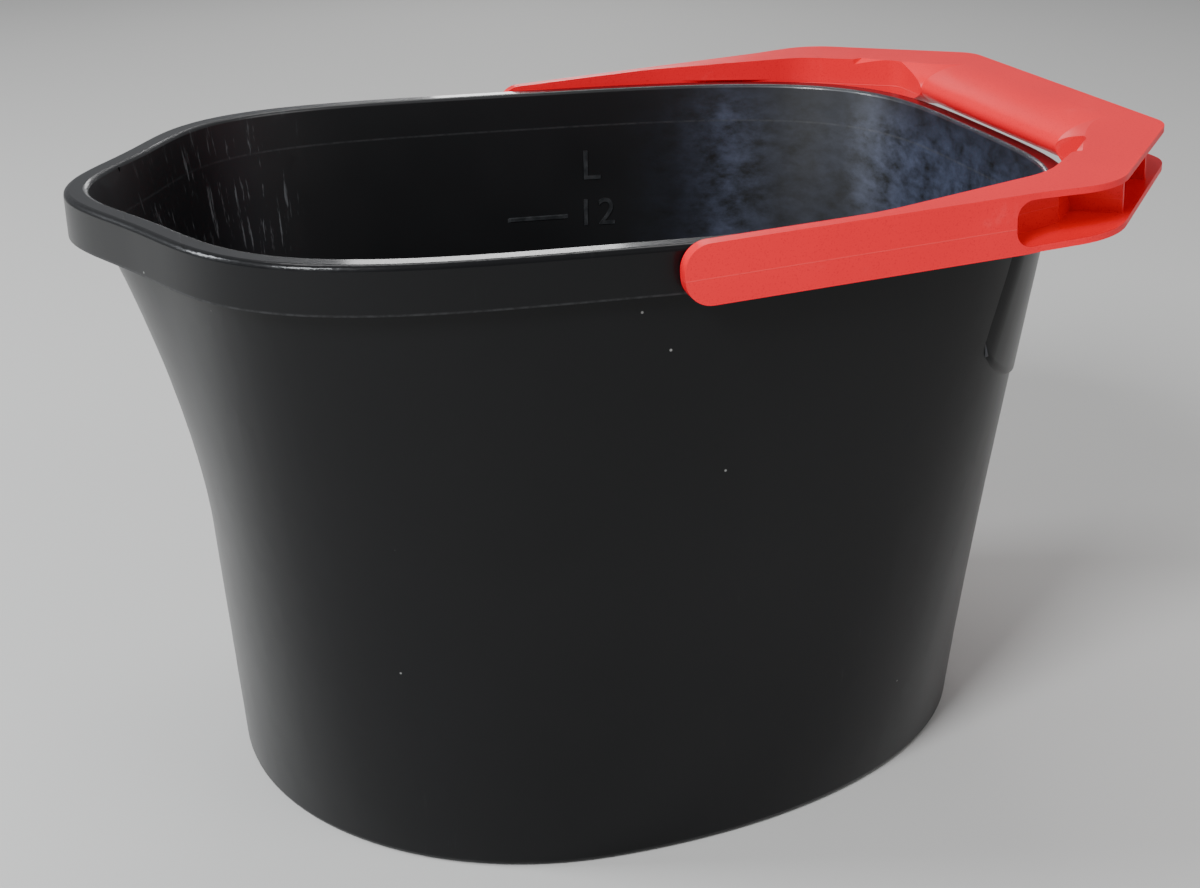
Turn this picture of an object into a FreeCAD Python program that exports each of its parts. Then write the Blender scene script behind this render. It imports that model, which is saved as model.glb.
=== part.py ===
import FreeCAD, Part
import Sketcher
import math
import os

# Oval household bucket with a pouring spout and a moulded bail handle.
# Millimetres, +Z up. Origin on the floor, under the middle of the handle's pivot line.
# -X is the spout end, +X is the end the handle is laid down on.

doc = FreeCAD.newDocument("oval_bucket")

SIZES = [
    ("height", 242.0), ("centre_x", -28.6),
    ("rim_right", 199.0), ("rim_left", 147.0), ("rim_half", 134.2),
    ("rim_power_right", 3.8), ("rim_power_left", 3.5),
    ("spout_reach", 28.5), ("spout_angle", 18.5), ("spout_power", 1.95),
    ("base_right", 186.4), ("base_left", 128.0), ("base_half", 126.4), ("base_power", 2.05),
    ("flare_start", 105.0), ("flare_power", 1.7),
    ("skirt_gap_out", 5.2), ("wall_low", 2.2), ("wall_high", 3.2), ("floor_thick", 2.6),
    ("band_depth", 17.0), ("skirt_thick", 1.8), ("rim_roof", 2.4),
    ("rim_round", 2.0), ("lip_round", 1.4), ("foot_round", 2.4),
    ("foot_width", 7.0), ("foot_recess", 1.2),
    ("rib_thick", 1.4), ("rib_count", 14.0),
    ("pivot_height", 233.0), ("pin_radius", 4.2), ("bore_radius", 4.26),
    ("head_radius", 5.2), ("head_thick", 1.5), ("head_clear", 0.5),
    ("arm_out", 140.5), ("arm_in", 135.0), ("arm_nose", 9.6),
    ("flare_x", 118.0), ("bend_x", 146.0), ("bend_y", 143.5),
    ("grip_out", 203.6), ("corner_y", 80.0),
    ("flange_x", 62.0), ("flange_bow_x", 133.0), ("flange_bow_y", 118.5),
    ("grip_in", 168.0), ("turn_y", 84.0), ("grip_nose", 22.0),
    ("half_high", 10.65), ("rise_start", 112.0), ("grip_floor", 6.2), ("grip_half_high", 9.0),
    ("tube_half", 60.0), ("tube_end", 100.0), ("tube_widen", 20.0), ("tube_heighten", 6.0),
    ("shell", 2.4), ("pocket_round", 6.0),
    ("pocket_x", 109.0), ("pocket_y", 127.2), ("pocket_bow_x", 135.0), ("pocket_bow_y", 121.8),
    ("pocket_far", 160.0), ("channel_x", 171.2), ("channel_y", 86.5), ("pocket_reach", 230.0),
    ("inner_high", 8.35), ("inner_floor", 3.9),
    ("hollow_near_x", 76.0), ("hollow_near_y", 134.4), ("hollow_end_x", 105.5),
    ("hollow_end_y", 127.6), ("hollow_out", 138.1),
    ("stiffener", 1.8), ("grip_webs", 2.0), ("web_back", 3.0),
    ("arm_round", 90.0), ("bow_round", 34.0), ("turn_round", 12.0),
    ("bend_radius", 26.0), ("corner_radius", 18.0), ("side_reach", 150.0),
    ("rest_angle", 4.0), ("rim_clear", 0.5),
]


def fill_sheet():
    table = doc.addObject("Spreadsheet::Sheet", "Sizes")
    for row, (name, value) in enumerate(SIZES, start=1):
        table.set("A%d" % row, name)
        table.set("B%d" % row, str(value))
        table.setAlias("B%d" % row, name)
    doc.recompute()
    return table


sheet = fill_sheet()


def size(name):
    if name.startswith("-"):
        return -float(sheet.get(name[1:]))
    return float(sheet.get(name))


def bind(obj, prop, expression):
    obj.setExpression(prop, expression)


# ---------------------------------------------------------------- outlines

STEPS = 72


def radius_at(angle, right, left, half, power_right, power_left):
    """Distance to a squared-off oval whose two halves may differ."""
    c = math.cos(angle)
    s = math.sin(angle)
    reach = right if c >= 0 else left
    power = power_right if c >= 0 else power_left
    return (abs(c / reach) ** power + abs(s / half) ** power) ** (-1.0 / power)


def spout_share(angle):
    """One at the tip of the spout, fading to nothing round the sides."""
    off = abs(math.degrees(angle) - 180.0)
    return math.exp(-(off / size("spout_angle")) ** size("spout_power"))


def rim_radius(angle, inset):
    return radius_at(angle, size("rim_right") - inset, size("rim_left") - inset,
                     size("rim_half") - inset, size("rim_power_right"), size("rim_power_left"))


def base_radius(angle):
    return radius_at(angle, size("base_right"), size("base_left"), size("base_half"),
                     size("base_power"), size("base_power"))


def wall_radius(angle, level):
    """Outside of the wall: base oval growing into the rim oval, with the spout flare."""
    share = level / size("height")
    plain = base_radius(angle) * (1 - share) + rim_radius(angle, size("skirt_gap_out")) * share
    start = size("flare_start")
    if level <= start:
        return plain
    flare = ((level - start) / (size("height") - start)) ** size("flare_power")
    return plain + size("spout_reach") * spout_share(angle) * flare


def ring(radius, inset):
    """Points of a closed outline, moved inwards by inset along its own normals."""
    angles = [2 * math.pi * i / STEPS for i in range(STEPS)]
    flat = [(radius(a) * math.cos(a), radius(a) * math.sin(a)) for a in angles]
    points = []
    for i in range(STEPS):
        before = flat[i - 1]
        after = flat[(i + 1) % STEPS]
        dx = after[0] - before[0]
        dy = after[1] - before[1]
        span = math.hypot(dx, dy)
        points.append((flat[i][0] - inset * dy / span, flat[i][1] + inset * dx / span))
    return points


def wire_at(points, level):
    curve = Part.BSplineCurve()
    poles = [FreeCAD.Vector(x + size("centre_x"), y, level) for x, y in points]
    curve.interpolate(Points=poles, PeriodicFlag=True)
    return Part.Wire([curve.toShape()])


def rim_ring(inset):
    return ring(lambda a: rim_radius(a, 0) + size("spout_reach") * spout_share(a), inset)


def wall_ring(level, inset):
    return ring(lambda a: wall_radius(a, level), inset)


def feature(name, shape):
    obj = doc.addObject("Part::Feature", name)
    obj.Shape = shape
    return obj


def loft(name, levels, points_at, ruled):
    wires = [wire_at(points_at(z), z) for z in levels]
    return feature(name, Part.makeLoft(wires, True, ruled))


def thickness(level):
    share = level / size("height")
    return size("wall_low") * (1 - share) + size("wall_high") * share


def boolean(kind, name, objects):
    if kind == "Part::Cut":
        obj = doc.addObject("Part::Cut", name)
        obj.Base = objects[0]
        obj.Tool = objects[1]
    else:
        obj = doc.addObject(kind, name)
        obj.Shapes = objects
    doc.recompute()
    if obj.Shape.isNull() or not obj.Shape.isValid():
        raise RuntimeError(name + " gave no sound shape")
    return obj


def cylinder_y(name, radius_expr, x, y, z, length_expr):
    """A cylinder whose axis runs along +Y from (x, y, z)."""
    obj = doc.addObject("Part::Cylinder", name)
    bind(obj, "Radius", radius_expr)
    bind(obj, "Height", length_expr)
    turn = FreeCAD.Rotation(FreeCAD.Vector(1, 0, 0), -90)
    obj.Placement = FreeCAD.Placement(FreeCAD.Vector(x, y, z), turn)
    return obj


# ---------------------------------------------------------------- bucket

def spread(low, high, count):
    return [low + (high - low) * i / (count - 1) for i in range(count)]


def wall_levels(low, high):
    """Heights of the wall's sections, closer together where the spout flares."""
    start = size("flare_start")
    return spread(low, start, 5) + spread(start, high, 11)[1:]


def make_wall():
    levels = wall_levels(size("foot_round"), size("height"))
    return loft("wall_outside", levels, lambda z: wall_ring(z, 0), False)


def drawn_in(distance, rounding):
    """How far a rounded edge is cut back at a distance from the face it rounds into."""
    return rounding - math.sqrt(max(rounding ** 2 - (rounding - distance) ** 2, 0))


def make_foot():
    rounding = size("foot_round")
    return loft("foot_outside", spread(0, rounding, 4),
                lambda z: wall_ring(z, drawn_in(z, rounding)), False)


def make_cavity():
    """The inside of the bucket, and the rounded lip above it, as two tools."""
    top = size("height")
    rounding = size("lip_round")
    levels = wall_levels(size("floor_thick") + size("foot_recess"), top - rounding)
    inside = loft("inside", levels, lambda z: wall_ring(z, thickness(z)), False)
    lip = loft("lip", spread(top - rounding, top, 4),
               lambda z: wall_ring(z, thickness(z) - drawn_in(top - z, rounding)), False)
    return inside, lip


def make_rim():
    """The broad rim with its skirt, still without the wall under it."""
    top = size("height")
    low = top - size("band_depth")
    rounding = size("rim_round")
    band = loft("rim_band", [low, top - rounding], lambda z: rim_ring(0), True)
    crown = loft("rim_crown", spread(top - rounding, top, 4),
                 lambda z: rim_ring(drawn_in(top - z, rounding)), False)
    block = boolean("Part::MultiFuse", "rim_block", [band, crown])
    under = loft("rim_underside", [low - 1, top - size("rim_roof")],
                 lambda z: rim_ring(size("skirt_thick")), True)
    return boolean("Part::Cut", "lid", [block, under])


def fillet(name, base, radius, numbers):
    obj = doc.addObject("Part::Fillet", name)
    obj.Base = base
    obj.Edges = [(n, radius, radius) for n in numbers]
    doc.recompute()
    if obj.Shape.isNull() or not obj.Shape.isValid():
        raise RuntimeError(name + " gave no sound rounding")
    return obj


def rib_ends(angle):
    """Where a web under the rim starts in the wall and ends in the skirt."""
    level = size("height") - size("band_depth") / 2
    start = wall_radius(angle, level) - size("wall_high") / 2
    end = rim_radius(angle, 0) + size("spout_reach") * spout_share(angle) - size("skirt_thick") / 2
    return start, end


def make_ribs():
    """Thin upright webs under the rim that join the skirt to the wall."""
    count = int(size("rib_count"))
    low = size("height") - size("band_depth") + 3
    ribs = []
    for i in range(count):
        angle = 2 * math.pi * (i + 0.5) / count
        start, end = rib_ends(angle)
        rib = doc.addObject("Part::Box", "rib_%d" % i)
        rib.Length = end - start
        bind(rib, "Width", "Sizes.rib_thick")
        bind(rib, "Height", "Sizes.band_depth - 4")
        turn = FreeCAD.Rotation(FreeCAD.Vector(0, 0, 1), math.degrees(angle))
        shift = turn.multVec(FreeCAD.Vector(start, -size("rib_thick") / 2, 0))
        base = FreeCAD.Vector(size("centre_x"), 0, low) + shift
        rib.Placement = FreeCAD.Placement(base, turn)
        ribs.append(rib)
    return ribs


def make_bores():
    """One hole through the skirt on each side for the handle's studs."""
    bores = []
    for side in (-1, 1):
        middle = side * (size("rim_half") - size("skirt_thick") / 2)
        start = middle - 2.2
        bores.append(cylinder_y("bore_%d" % (side + 1), "Sizes.bore_radius", 0, start,
                                size("pivot_height"), "4.4 mm"))
    return boolean("Part::MultiFuse", "bores", bores)


def make_bucket():
    lidded = boolean("Part::MultiFuse", "lidded", [make_wall(), make_foot(), make_rim()])
    inside, lip = make_cavity()
    hollow = boolean("Part::Cut", "hollow", [lidded, inside])
    shell = boolean("Part::Cut", "shell", [hollow, lip])
    foot = loft("foot_hollow", [-1, size("foot_recess")],
                lambda z: wall_ring(max(z, 0), size("foot_width")), True)
    footed = boolean("Part::Cut", "footed", [shell, foot])
    bored = boolean("Part::Cut", "bored", [footed, make_bores()])
    return boolean("Part::MultiFuse", "ribbed", [bored] + make_ribs())


# ---------------------------------------------------------------- handle

def sketch_loop(name, points, upright):
    """A closed sketch through points given as pairs of sheet names."""
    sketch = doc.addObject("Sketcher::SketchObject", name)
    if upright:
        sketch.Placement.Rotation = FreeCAD.Rotation(FreeCAD.Vector(1, 0, 0), 90)
    spots = [FreeCAD.Vector(size(a), size(b), 0) for a, b in points]
    count = len(spots)
    for i in range(count):
        sketch.addGeometry(Part.LineSegment(spots[i], spots[(i + 1) % count]), False)
    for i in range(count):
        sketch.addConstraint(Sketcher.Constraint("Coincident", i, 2, (i + 1) % count, 1))
    for i, (a, b) in enumerate(points):
        for kind, word, value in (("DistanceX", a, spots[i].x), ("DistanceY", b, spots[i].y)):
            number = sketch.addConstraint(Sketcher.Constraint(kind, -1, 1, i, 1, value))
            sign = "-" if word.startswith("-") else ""
            bind(sketch, "Constraints[%d]" % number, sign + "Sizes." + word.lstrip("-"))
    doc.recompute()
    return sketch


def extrude(name, sketch, direction, forward, backward):
    obj = doc.addObject("Part::Extrusion", name)
    obj.Base = sketch
    obj.DirMode = "Custom"
    obj.Dir = direction
    obj.LengthFwd = forward
    obj.LengthRev = backward
    obj.Solid = True
    doc.recompute()
    return obj


UP = FreeCAD.Vector(0, 0, 1)
ACROSS = FreeCAD.Vector(0, 1, 0)


def plan_sketch():
    outer = [("-arm_nose", "arm_out"), ("flare_x", "arm_out"), ("bend_x", "bend_y"),
             ("grip_out", "corner_y")]
    inner = [("grip_in", "turn_y"), ("flange_bow_x", "flange_bow_y"),
             ("flange_x", "arm_in"), ("-arm_nose", "arm_in")]
    back = [(a, "-" + b) for a, b in reversed(outer)]
    front = [(a, "-" + b) for a, b in reversed(inner)]
    return sketch_loop("plan", outer + back + front + inner, False)


def side_sketch(name, low_start, low_end, top):
    points = [("-arm_nose", top), ("-arm_nose", low_start), ("rise_start", low_start),
              ("grip_out", low_end), ("grip_out", top)]
    return sketch_loop(name, points, True)


def upright_edges(shape, spots):
    """Vertical edges standing at the given plan positions."""
    found = []
    for i, edge in enumerate(shape.Edges, start=1):
        box = edge.BoundBox
        if box.ZLength < 2 or box.XLength > 0.1 or box.YLength > 0.1:
            continue
        for x, y in spots:
            if math.hypot(box.Center.x - x, box.Center.y - y) < 0.3:
                found.append(i)
    return found


def nose_edges(shape):
    found = []
    for i, edge in enumerate(shape.Edges, start=1):
        box = edge.BoundBox
        if abs(box.XMax + size("arm_nose")) < 0.05 and box.YLength > 1 and box.ZLength < 0.1:
            found.append(i)
    return found


def both_sides(spots):
    return spots + [(x, -y) for x, y in spots]


def make_blank():
    plan = extrude("plan_prism", plan_sketch(), UP, 12, 12)
    side = extrude("side_prism", side_sketch("side", "-half_high", "-grip_floor", "half_high"),
                   ACROSS, size("side_reach"), size("side_reach"))
    blank = boolean("Part::MultiCommon", "blank", [plan, side])
    turns = [("bends", "bend_radius", "bend_x", "bend_y"),
             ("corners", "corner_radius", "grip_out", "corner_y"),
             ("arm_bows", "arm_round", "flange_x", "arm_in"),
             ("flange_bows", "bow_round", "flange_bow_x", "flange_bow_y"),
             ("grip_turns", "turn_round", "grip_in", "turn_y")]
    for name, radius, x, y in turns:
        spots = both_sides([(size(x), size(y))])
        blank = fillet(name, blank, size(radius), upright_edges(blank.Shape, spots))
    return fillet("noses", blank, size("arm_nose") - 0.1, nose_edges(blank.Shape))


def nose_tool(name, inset):
    """What must go to round the finger side of the grip, fading out at both corners."""
    near = size("tube_half")
    far = size("tube_end")
    middle = size("half_high") - size("grip_half_high")
    centre_x = size("grip_in") + size("grip_nose")
    upright = FreeCAD.Rotation(FreeCAD.Vector(1, 0, 0), 90)
    ovals = []
    for i, (y, grow) in enumerate(((-far, 1), (-near, 0), (near, 0), (far, 1))):
        oval = doc.addObject("Part::Ellipse", "%s_oval_%d" % (name, i))
        oval.MajorRadius = size("grip_nose") + grow * size("tube_widen") - inset
        oval.MinorRadius = size("grip_half_high") + grow * size("tube_heighten") - inset
        oval.Placement = FreeCAD.Placement(FreeCAD.Vector(centre_x, y, middle), upright)
        ovals.append(oval)
    tube = doc.addObject("Part::Loft", name + "_tube")
    tube.Sections = ovals
    tube.Solid = True
    tube.Ruled = True
    block = doc.addObject("Part::Box", name + "_block")
    block.Length = size("grip_nose") + 20
    block.Width = 2 * far - 1
    block.Height = 40
    block.Placement.Base = FreeCAD.Vector(size("grip_in") - 20, 0.5 - far, -20)
    doc.recompute()
    return boolean("Part::Cut", name, [block, tube])


def make_channel():
    """The channel round both corners and the grip that is open to the outside."""
    half = [("pocket_x", "pocket_far"), ("pocket_x", "pocket_y"),
            ("pocket_bow_x", "pocket_bow_y"), ("channel_x", "channel_y")]
    loop = half + [(a, "-" + b) for a, b in reversed(half)]
    loop = loop + [("pocket_reach", "-pocket_far"), ("pocket_reach", "pocket_far")]
    plan = extrude("channel_plan", sketch_loop("channel_sketch", loop, False), UP, 12, 12)
    side = extrude("channel_side",
                   side_sketch("channel_side_sketch", "-inner_high", "-inner_floor", "inner_high"),
                   ACROSS, size("pocket_far"), size("pocket_far"))
    rough = boolean("Part::MultiCommon", "channel_rough", [plan, side])
    ends = []
    for i, edge in enumerate(rough.Shape.Edges, start=1):
        box = edge.BoundBox
        if abs(box.XMax - size("pocket_x")) < 0.05 and box.YLength > 1 and box.ZLength < 0.1:
            ends.append(i)
    rounded = fillet("channel_ends", rough, size("pocket_round"), ends)
    return boolean("Part::Cut", "channel", [rounded, nose_tool("channel_nose", size("shell"))])


def plate(name, x, y, angle, long):
    """A thin upright plate centred on a plan position, its length along angle."""
    thick = size("stiffener")
    obj = doc.addObject("Part::Box", name)
    obj.Length = long
    bind(obj, "Width", "Sizes.stiffener")
    obj.Height = 30
    turn = FreeCAD.Rotation(UP, angle)
    corner = FreeCAD.Vector(x, y, -15) + turn.multVec(FreeCAD.Vector(-long / 2, -thick / 2, 0))
    obj.Placement = FreeCAD.Placement(corner, turn)
    return obj


def make_stiffeners(channel):
    """Cross webs inside the outer channel, set back from its mouth."""
    back = size("web_back")
    plates = []
    count = int(size("grip_webs"))
    for i in range(count):
        y = size("corner_y") * (2.0 * i / (count - 1) - 1) * 0.4
        plates.append(plate("grip_web_%d" % i, size("grip_out") - back - 20, y, 0, 40))
    for sign in (-1, 1):
        for i, share in enumerate((0.25, 0.72)):
            x = size("bend_x") + share * (size("grip_out") - size("bend_x"))
            y = size("bend_y") + share * (size("corner_y") - size("bend_y"))
            shift = (20 + back) * math.sqrt(0.5)
            plates.append(plate("corner_web_%d_%d" % (sign + 1, i), x - shift,
                                sign * (y - shift), sign * 45, 40))
    webs = boolean("Part::MultiFuse", "web_plates", plates)
    room = feature("channel_copy", channel.Shape.copy())
    return boolean("Part::MultiCommon", "webs", [webs, room])


def make_hollows():
    """A hollow open to below in each arm, where the arm grows wide."""
    hollows = []
    for sign in ("", "-"):
        points = [("hollow_near_x", sign + "hollow_near_y"), ("hollow_near_x", sign + "hollow_out"),
                  ("hollow_end_x", sign + "hollow_out"), ("hollow_end_x", sign + "hollow_end_y")]
        name = "hollow" + ("_far" if sign == "" else "_near")
        hollows.append(extrude(name, sketch_loop(name + "_plan", points, False), UP,
                               size("inner_high"), 20))
    return boolean("Part::MultiFuse", "hollows", hollows)


def make_studs():
    """The snap studs that turn in the two bores of the skirt."""
    parts = []
    tip = size("rim_half") - size("skirt_thick") - size("head_clear")
    long = "Sizes.arm_in + 1 - Sizes.rim_half + Sizes.skirt_thick + Sizes.head_clear"
    for sign in (-1, 1):
        shaft_at = tip if sign > 0 else -size("arm_in") - 1
        head_at = tip - size("head_thick") if sign > 0 else -tip
        parts.append(cylinder_y("stud_%d" % (sign + 1), "Sizes.pin_radius", 0, shaft_at, 0, long))
        parts.append(cylinder_y("stud_head_%d" % (sign + 1), "Sizes.head_radius", 0, head_at, 0,
                                "Sizes.head_thick"))
    return boolean("Part::MultiFuse", "studs", parts)


def rest_placement():
    turn = FreeCAD.Rotation(FreeCAD.Vector(0, -1, 0), size("rest_angle"))
    return FreeCAD.Placement(FreeCAD.Vector(0, 0, size("pivot_height")), turn)


def make_handle():
    blank = make_blank()
    rounded = boolean("Part::Cut", "rounded", [blank, nose_tool("grip_round", 0)])
    channel = make_channel()
    webs = make_stiffeners(channel)
    opened = boolean("Part::Cut", "opened", [rounded, channel])
    hollowed = boolean("Part::Cut", "hollowed", [opened, make_hollows()])
    webbed = boolean("Part::MultiFuse", "webbed", [hollowed, webs])
    rim = loft("rim_room", [200, size("height") + size("rim_clear")],
               lambda z: rim_ring(-size("rim_clear")), True)
    rim.Placement = rest_placement().inverse()
    doc.recompute()
    nested = boolean("Part::Cut", "nested", [webbed, rim])
    return boolean("Part::MultiFuse", "studded", [nested, make_studs()])


# ---------------------------------------------------------------- finish

def finish(label, source, placement):
    shape = source.Shape.copy()
    shape = shape.removeSplitter()
    obj = doc.addObject("Part::Feature", label)
    obj.Label = label
    obj.Shape = shape
    obj.Placement = placement
    doc.recompute()
    return obj


def check_document():
    for obj in doc.Objects:
        bad = [word for word in obj.State if word in ("Invalid", "Error")]
        if bad:
            raise RuntimeError(obj.Name + " is " + ",".join(bad))


def export(obj):
    shape = obj.Shape
    if shape.isNull() or not shape.isValid() or len(shape.Solids) != 1:
        raise RuntimeError("%s is not one valid solid: %d" % (obj.Label, len(shape.Solids)))
    shape.exportStep(os.path.join("parts", obj.Label + ".step"))
    print(obj.Label, "volume %.1f cm3" % (shape.Volume / 1000.0), shape.BoundBox)


os.makedirs("parts", exist_ok=True)
body = finish("bucket_body", make_bucket(), FreeCAD.Placement())
bail = finish("handle", make_handle(), rest_placement())
check_document()
export(body)
export(bail)
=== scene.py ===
import math

import bpy
from mathutils import Matrix, Vector


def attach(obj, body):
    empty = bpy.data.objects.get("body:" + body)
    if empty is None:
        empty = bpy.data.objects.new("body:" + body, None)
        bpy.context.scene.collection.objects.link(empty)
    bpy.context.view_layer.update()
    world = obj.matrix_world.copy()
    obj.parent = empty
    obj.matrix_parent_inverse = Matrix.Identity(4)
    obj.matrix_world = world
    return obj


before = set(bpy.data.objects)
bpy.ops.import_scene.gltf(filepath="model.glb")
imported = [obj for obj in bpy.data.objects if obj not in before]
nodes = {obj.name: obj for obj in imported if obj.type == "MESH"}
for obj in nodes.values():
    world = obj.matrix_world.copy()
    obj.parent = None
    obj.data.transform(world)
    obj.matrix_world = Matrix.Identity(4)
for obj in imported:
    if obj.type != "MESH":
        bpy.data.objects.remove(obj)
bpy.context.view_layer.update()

# Places on the bucket that the looks and the moulded details are set out from, in metres.
MIDDLE = (-0.0286, 0, 0)
RIM_TOP = 0.242
SKIRT_FOOT = 0.225
PARTING_HEIGHT = 0.2318
ARM_SLOPE = math.tan(math.radians(4.0))
PLASTIC_IOR = 1.49


# ---------------------------------------------------------------- node helpers

class Paint:
    """A material and short ways to add nodes to it."""

    def __init__(self, name):
        self.material = bpy.data.materials.new(name)
        self.material.use_nodes = True
        self.tree = self.material.node_tree
        self.shader = self.tree.nodes["Principled BSDF"]
        self.place = self.node("ShaderNodeTexCoord").outputs["Object"]

    def node(self, kind, **values):
        made = self.tree.nodes.new(kind)
        for key, value in values.items():
            setattr(made, key, value)
        return made

    def join(self, source, target):
        self.tree.links.new(source, target)

    def stretched(self, scale, turn=(0, 0, 0)):
        mapping = self.node("ShaderNodeMapping")
        mapping.inputs["Scale"].default_value = scale
        mapping.inputs["Rotation"].default_value = turn
        self.join(self.place, mapping.inputs["Vector"])
        return mapping.outputs["Vector"]

    def noise(self, scale, detail=4.0, rough=0.55, place=None):
        made = self.node("ShaderNodeTexNoise")
        made.inputs["Scale"].default_value = scale
        made.inputs["Detail"].default_value = detail
        made.inputs["Roughness"].default_value = rough
        self.join(place or self.place, made.inputs["Vector"])
        return made.outputs["Fac"]

    def remap(self, value, low, high, out_low, out_high):
        made = self.node("ShaderNodeMapRange")
        made.inputs["From Min"].default_value = low
        made.inputs["From Max"].default_value = high
        made.inputs["To Min"].default_value = out_low
        made.inputs["To Max"].default_value = out_high
        self.join(value, made.inputs["Value"])
        return made.outputs["Result"]

    def math(self, kind, a, b=0.0, clamp=False):
        made = self.node("ShaderNodeMath", operation=kind, use_clamp=clamp)
        for slot, value in enumerate((a, b)):
            if isinstance(value, (int, float)):
                made.inputs[slot].default_value = value
            else:
                self.join(value, made.inputs[slot])
        return made.outputs[0]

    def mix(self, factor, a, b):
        made = self.node("ShaderNodeMix", data_type="RGBA")
        if isinstance(factor, (int, float)):
            made.inputs["Factor"].default_value = factor
        else:
            self.join(factor, made.inputs["Factor"])
        for slot, value in ((6, a), (7, b)):
            if isinstance(value, tuple):
                made.inputs[slot].default_value = value
            else:
                self.join(value, made.inputs[slot])
        return made.outputs[2]

    def axis(self, letter):
        parts = self.node("ShaderNodeSeparateXYZ")
        self.join(self.place, parts.inputs[0])
        return parts.outputs[letter]

    def bump(self, height, strength, distance, before=None):
        made = self.node("ShaderNodeBump")
        made.inputs["Strength"].default_value = strength
        made.inputs["Distance"].default_value = distance
        self.join(height, made.inputs["Height"])
        if before is not None:
            self.join(before, made.inputs["Normal"])
        return made.outputs["Normal"]

    def band(self, value, low, high, soft):
        """One between low and high, nothing outside, with soft edges."""
        rise = self.remap(value, low - soft, low + soft, 0.0, 1.0)
        fall = self.remap(value, high - soft, high + soft, 1.0, 0.0)
        return self.math("MULTIPLY", rise, fall)

    def specks(self, scale, size, share):
        """Small round dots at random places, with share of the cells used."""
        cells = self.node("ShaderNodeTexVoronoi")
        cells.inputs["Scale"].default_value = scale
        self.join(self.place, cells.inputs["Vector"])
        near = self.remap(cells.outputs["Distance"], size * 0.6, size, 1.0, 0.0)
        chosen = self.node("ShaderNodeSeparateColor")
        self.join(cells.outputs["Color"], chosen.inputs[0])
        return self.math("MULTIPLY", near, self.math("LESS_THAN", chosen.outputs[0], share))

    def inside(self, middle):
        """One where the surface faces the upright line through the middle, nothing outside."""
        shape = self.node("ShaderNodeNewGeometry")
        away = self.node("ShaderNodeVectorMath", operation="SUBTRACT")
        away.inputs[1].default_value = middle
        self.join(self.place, away.inputs[0])
        level = self.node("ShaderNodeVectorMath", operation="MULTIPLY")
        level.inputs[1].default_value = (1, 1, 0)
        self.join(away.outputs[0], level.inputs[0])
        facing = self.node("ShaderNodeVectorMath", operation="DOT_PRODUCT")
        self.join(level.outputs[0], facing.inputs[0])
        self.join(shape.outputs["True Normal"], facing.inputs[1])
        return self.math("LESS_THAN", facing.outputs["Value"], 0.0)

    def times(self, *values):
        result = values[0]
        for value in values[1:]:
            result = self.math("MULTIPLY", result, value)
        return result

    def overlaid(self, base, *layers):
        """The base colour under layers, each given by where it lies, its strength and its colour."""
        for where, strength, colour in layers:
            base = self.mix(self.math("MULTIPLY", where, strength), base, colour)
        return base

    def wear(self, value, socket):
        self.join(value, self.shader.inputs[socket])


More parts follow.
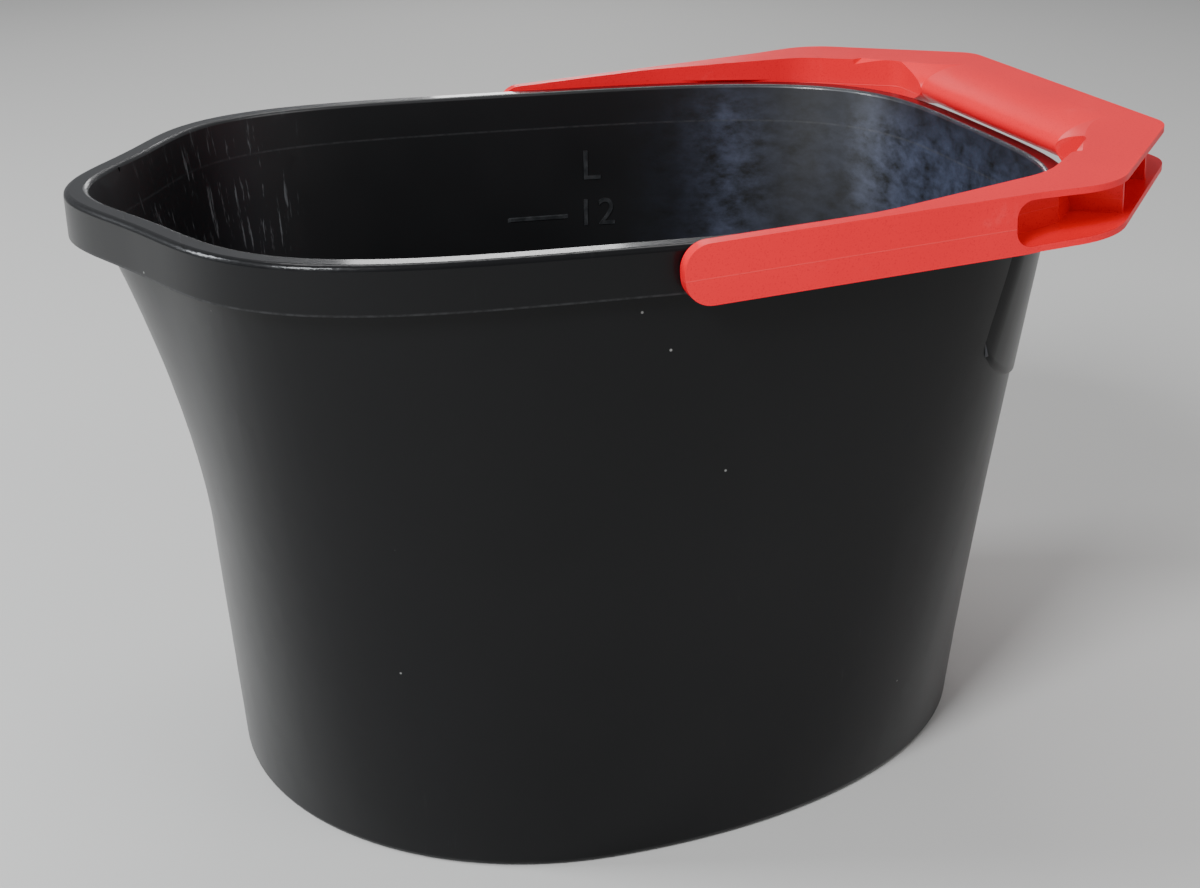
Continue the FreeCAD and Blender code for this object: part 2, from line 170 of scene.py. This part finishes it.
def black_plastic():
    """Moulded black: glossy on the rim, hazy inside, with scratches, scuff marks and dust, a painted
    bluish reflection in two upright strips on the inner wall at the end away from the spout, and a
    painted highlight along the skirt's foot.
    """
    p = Paint("black_polypropylene")
    p.shader.inputs["IOR"].default_value = PLASTIC_IOR
    p.shader.inputs["Coat Roughness"].default_value = 0.10
    p.shader.inputs["Coat IOR"].default_value = 1.42
    x, z = p.axis("X"), p.axis("Z")
    within = p.inside(MIDDLE)
    rim_top = p.remap(z, RIM_TOP - 0.0015, RIM_TOP - 0.0005, 0.0, 1.0)

    # patterns
    cloudy = p.noise(7.0, 3.0)
    fine = p.noise(420.0, 2.0)
    mottled = p.noise(1.0, 5.0, 0.7, p.stretched((75.0, 75.0, 130.0)))
    upright = p.noise(1.0, 4.0, 0.7, p.stretched((330.0, 330.0, 5.0)))
    slanted = p.noise(1.0, 3.0, 0.6, p.stretched((420.0, 30.0, 30.0), (0.3, 0.5, 0.8)))
    nick_lines = p.noise(1.0, 1.0, 0.5, p.stretched((210.0, 9.0, 9.0)))

    # where each kind of wear, the painted reflection and the painted highlight lie
    scratch = p.times(p.remap(slanted, 0.70, 0.76, 0.0, 1.0), p.remap(cloudy, 0.45, 0.62, 0.0, 1.0))
    spout_side = p.times(p.band(x, -0.175, -0.112, 0.008), p.band(z, 0.165, 0.236, 0.012), within)
    spout_lines = p.times(p.remap(upright, 0.585, 0.65, 0.0, 1.0), spout_side)
    # painted reflection: bluish window light seen as haze on the inner wall at the end away from the
    # spout, laid in two upright strips over mottled scuff marks
    far_half = p.times(p.remap(x, 0.045, 0.095, 0.0, 1.0), p.band(z, 0.120, 0.238, 0.014), within)
    far_reflection_band = p.band(x, 0.078, 0.112, 0.016)
    end_reflection_band = p.band(x, 0.146, 0.175, 0.008)
    reflection_bands = p.math("MAXIMUM", p.math("MAXIMUM", far_reflection_band, end_reflection_band), 0.28)
    scuffs_and_painted_reflection = p.times(p.remap(mottled, 0.30, 0.68, 0.0, 1.0), far_half, reflection_bands)
    nicks = p.times(p.remap(nick_lines, 0.665, 0.690, 0.0, 1.0), rim_top)
    dust = p.specks(95.0, 0.058, 0.05)
    # painted highlight: a thin pale line along the skirt's foot, standing in for light catching its
    # edge
    skirt_edge = p.band(z, SKIRT_FOOT - 0.0001, SKIRT_FOOT + 0.0007, 0.0002)
    skirt_edge_highlight = p.times(skirt_edge, p.remap(fine, 0.35, 0.6, 0.3, 1.0))

    dark, less_dark = (0.0030, 0.0031, 0.0035, 1), (0.0046, 0.0046, 0.0052, 1)
    # the bluish layer is a painted reflection over scuff marks, and the pale line at the skirt's foot
    # is a painted highlight
    base = p.overlaid(p.mix(p.remap(cloudy, 0.35, 0.65, 0.0, 1.0), dark, less_dark),
                      (scuffs_and_painted_reflection, 0.55, (0.060, 0.078, 0.150, 1)),
                      (spout_lines, 0.55, (0.24, 0.25, 0.26, 1)),
                      (scratch, 0.16, (0.060, 0.062, 0.066, 1)),
                      (nicks, 0.8, (0.0010, 0.0010, 0.0010, 1)),
                      (skirt_edge_highlight, 0.4, (0.05, 0.05, 0.052, 1)),
                      (dust, 0.8, (0.26, 0.26, 0.25, 1)))
    p.wear(base, "Base Color")

    rough = p.math("ADD", p.remap(cloudy, 0.3, 0.7, 0.30, 0.38), p.math("MULTIPLY", within, 0.07))
    worn = p.math("MULTIPLY", p.math("ADD", scuffs_and_painted_reflection, scratch), 0.10)
    p.wear(p.math("ADD", rough, worn, clamp=True), "Roughness")
    sheen = p.math("ADD", p.math("MULTIPLY", within, 0.55), p.math("MULTIPLY", scuffs_and_painted_reflection, 0.45))
    p.wear(p.math("ADD", sheen, 0.17), "Specular IOR Level")
    p.wear(p.math("ADD", p.math("MULTIPLY", rim_top, 0.45), 0.17), "Coat Weight")
    dents = p.math("SUBTRACT", p.math("MULTIPLY", fine, 0.03), nicks)
    wavy = p.bump(p.noise(14.0, 1.0), 0.10, 0.0012)
    p.wear(p.bump(dents, 0.20, 0.0003, wavy), "Normal")
    return p.material


def mark_plastic():
    """The same black plastic where it stands proud, rubbed a little paler."""
    p = Paint("black_polypropylene_marks")
    p.shader.inputs["IOR"].default_value = PLASTIC_IOR
    p.shader.inputs["Coat Weight"].default_value = 0.2
    rubbed = p.noise(260.0, 4.0, 0.6)
    dark, pale = (0.014, 0.015, 0.016, 1), (0.030, 0.031, 0.033, 1)
    p.wear(p.mix(p.remap(rubbed, 0.35, 0.65, 0.0, 1.0), dark, pale), "Base Color")
    p.wear(p.remap(rubbed, 0.3, 0.7, 0.30, 0.45), "Roughness")
    p.wear(p.bump(rubbed, 0.15, 0.0002), "Normal")
    return p.material


def red_plastic():
    """Moulded red with a fine grain, a parting line along the arms and a few specks."""
    p = Paint("red_polypropylene")
    p.shader.inputs["IOR"].default_value = PLASTIC_IOR
    p.shader.inputs["Specular IOR Level"].default_value = 0.38
    x, z = p.axis("X"), p.axis("Z")
    cloudy = p.noise(14.0, 3.0)
    grain = p.noise(1500.0, 2.0)
    scuffed = p.remap(p.noise(55.0, 5.0, 0.7), 0.60, 0.72, 0.0, 1.0)
    line_height = p.math("ADD", p.math("MULTIPLY", x, ARM_SLOPE), PARTING_HEIGHT)
    parting = p.band(p.math("SUBTRACT", z, line_height), -0.00016, 0.00016, 0.00012)

    red, lighter = (0.84, 0.0020, 0.0140, 1), (0.90, 0.0045, 0.0170, 1)
    base = p.overlaid(p.mix(p.remap(cloudy, 0.3, 0.7, 0.0, 1.0), red, lighter),
                      (p.remap(grain, 0.56, 0.72, 0.0, 1.0), 0.5, (0.64, 0.0015, 0.0100, 1)),
                      (scuffed, 0.10, (0.90, 0.20, 0.20, 1)),
                      (parting, 0.25, (0.92, 0.14, 0.13, 1)),
                      (p.specks(140.0, 0.07, 0.03), 1.0, (0.35, 0.02, 0.02, 1)))
    p.wear(base, "Base Color")
    worn = p.math("MULTIPLY", scuffed, 0.10)
    p.wear(p.math("ADD", p.remap(cloudy, 0.3, 0.7, 0.36, 0.44), worn, clamp=True), "Roughness")
    ridge = p.math("ADD", p.math("MULTIPLY", grain, 0.22), parting)
    p.wear(p.bump(ridge, 0.30, 0.0002), "Normal")
    return p.material


def dress(obj, material):
    obj.data.materials.clear()
    obj.data.materials.append(material)
    for polygon in obj.data.polygons:
        polygon.material_index = 0


black = black_plastic()
dress(nodes["bucket_body"], black)
dress(nodes["handle"], red_plastic())


# ---------------------------------------------------------------- moulded details

def lay_on_wall(mesh, spot, along, look, proud):
    """Move a flat mesh onto the bucket's wall: X runs along the wall, Y is up, Z stands proud of it."""
    wall = nodes["bucket_body"]
    for vertex in mesh.vertices:
        start = Vector(spot) + Vector(along) * vertex.co.x + Vector((0, 0, 1)) * vertex.co.y
        found, place, normal, _ = wall.ray_cast(start, Vector(look))
        if not found:
            raise RuntimeError("a detail misses the wall")
        vertex.co = place + normal * (proud * vertex.co.z)


def as_piece(name, mesh, material):
    obj = bpy.data.objects.new(name, mesh)
    bpy.context.scene.collection.objects.link(obj)
    dress(obj, material)
    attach(obj, "bucket")
    return obj


def plate_mesh(name, columns, rows, place):
    """A grid that stands at Z 1, with its outer points sunk to Z -1; place maps shares to X and Y."""
    mesh = bpy.data.meshes.new(name)
    points = []
    for row in range(rows + 1):
        for column in range(columns + 1):
            at_edge = row in (0, rows) or column in (0, columns)
            across, up = place(column / columns, row / rows)
            points.append((across, up, -1.0 if at_edge else 1.0))
    faces = []
    for row in range(rows):
        for column in range(columns):
            first = row * (columns + 1) + column
            faces.append((first, first + 1, first + columns + 2, first + columns + 1))
    mesh.from_pydata(points, [], faces)
    return mesh


def letter_mesh(name, words, height, left, foot):
    """Plain letters as a mesh from Z -1 to Z 1, with their left edge and foot where they're told."""
    size_for_capitals = 1.38
    curve = bpy.data.curves.new(name, "FONT")
    curve.body = words
    curve.size = height * size_for_capitals
    curve.extrude = 1.0
    curve.space_character = 1.1
    holder = bpy.data.objects.new(name + "_curve", curve)
    bpy.context.scene.collection.objects.link(holder)
    bpy.context.view_layer.update()
    mesh = bpy.data.meshes.new_from_object(holder)
    bpy.data.objects.remove(holder)
    low = min(v.co.x for v in mesh.vertices)
    for vertex in mesh.vertices:
        vertex.co.x += left - low
        vertex.co.y += foot
    return mesh


def graduation():
    """The fill mark on the far inner wall: a bar, its number and its unit."""
    marks = mark_plastic()
    left, foot, length, height = -0.0114, 0.1812, 0.0318, 0.0029
    bar = plate_mesh("mark_bar", 12, 4, lambda u, v: (left + length * u, foot + height * v))
    number = letter_mesh("mark_number", "12", height=0.0133, left=0.0269, foot=0.1779)
    unit = letter_mesh("mark_unit", "L", height=0.0145, left=0.0270, foot=0.2000)
    for name, mesh in (("mark_bar", bar), ("mark_number", number), ("mark_unit", unit)):
        lay_on_wall(mesh, (0, 0, 0), along=(1, 0, 0), look=(0, 1, 0), proud=0.0005)
        as_piece(name, mesh, marks)


def panel_outline(u, v):
    """A tall panel whose two lower corners are rounded."""
    half = 0.110
    low = 0.163
    high = 0.2245
    curve = 0.030
    across = (2 * u - 1) * half
    off = max(abs(across) - (half - curve), 0.0) / curve
    foot = low + curve * (1 - math.sqrt(max(1 - off * off, 0.0)))
    return across, foot + (high - foot) * v


def end_panel():
    """The raised panel on the outside of the end that the handle rests on."""
    mesh = plate_mesh("end_panel", 72, 24, panel_outline)
    beyond_the_end = (0.4, 0, 0)
    lay_on_wall(mesh, beyond_the_end, along=(0, 1, 0), look=(-1, 0, 0), proud=0.0011)
    for polygon in mesh.polygons:
        polygon.use_smooth = True
    as_piece("end_panel", mesh, black)


graduation()
end_panel()


# ---------------------------------------------------------------- studio

def stage_floor():
    bpy.ops.mesh.primitive_plane_add(size=8.0, location=(0, 0, 0))
    floor = bpy.context.object
    floor.name = "studio_floor"
    p = Paint("studio_paper")
    p.shader.inputs["Base Color"].default_value = (0.60, 0.59, 0.57, 1)
    p.shader.inputs["Roughness"].default_value = 0.8
    floor.data.materials.append(p.material)


def lamp(name, place, aim, width, height, power, colour=(1, 1, 1)):
    data = bpy.data.lights.new(name, "AREA")
    data.shape = "RECTANGLE"
    data.size = width
    data.size_y = height
    data.energy = power
    data.color = colour
    obj = bpy.data.objects.new(name, data)
    bpy.context.scene.collection.objects.link(obj)
    obj.location = place
    obj.rotation_euler = (Vector(aim) - Vector(place)).to_track_quat("-Z", "Y").to_euler()


def studio():
    stage_floor()
    world = bpy.data.worlds.new("studio")
    world.use_nodes = True
    sky = world.node_tree.nodes["Background"]
    sky.inputs["Color"].default_value = (0.86, 0.88, 0.92, 1)
    sky.inputs["Strength"].default_value = 0.32
    bpy.context.scene.world = world
    lamp("key", (-1.5, -1.3, 1.7), (0.05, 0, 0.12), 0.8, 0.8, 70, (0.94, 0.97, 1.0))
    lamp("side", (-1.9, 0.5, 1.1), (0.1, 0, 0.15), 0.5, 0.9, 34, (0.92, 0.96, 1.0))
    lamp("fill", (1.6, -1.6, 1.5), (0, 0, 0.1), 1.4, 1.2, 13)
    lamp("back_high", (0.42, 2.3, 1.02), (-0.06, -0.12, 0.24), 0.50, 0.26, 2.4)
    lamp("back_low", (0.52, 2.3, 0.68), (0, 0.13, 0.24), 0.36, 0.20, 1.6)
    lamp("top", (0.2, 0.9, 2.3), (0, 0, 0.2), 1.6, 0.8, 14)


studio()


# ---------------------------------------------------------------- camera

def camera():
    """Looks down at the -Y side from a little towards the spout, rolled slightly about its own axis."""
    data = bpy.data.cameras.new("camera")
    data.lens = 51.5
    data.sensor_width = 36.0
    obj = bpy.data.objects.new("camera", data)
    bpy.context.scene.collection.objects.link(obj)
    eye = (-0.1783, -0.6483, 0.3972)
    yaw = math.radians(15.38)
    pitch = math.radians(22.62)
    roll = math.radians(-0.33)
    level = math.cos(pitch)
    forward = Vector((math.sin(yaw) * level, math.cos(yaw) * level, -math.sin(pitch)))
    right = Vector((math.cos(yaw), -math.sin(yaw), 0))
    up = right.cross(forward)
    tilted_right = right * math.cos(roll) + up * math.sin(roll)
    tilted_up = up * math.cos(roll) - right * math.sin(roll)
    turn = Matrix((tilted_right, tilted_up, -forward)).transposed()
    obj.matrix_world = Matrix.Translation(eye) @ turn.to_4x4()
    bpy.context.scene.camera = obj


camera()
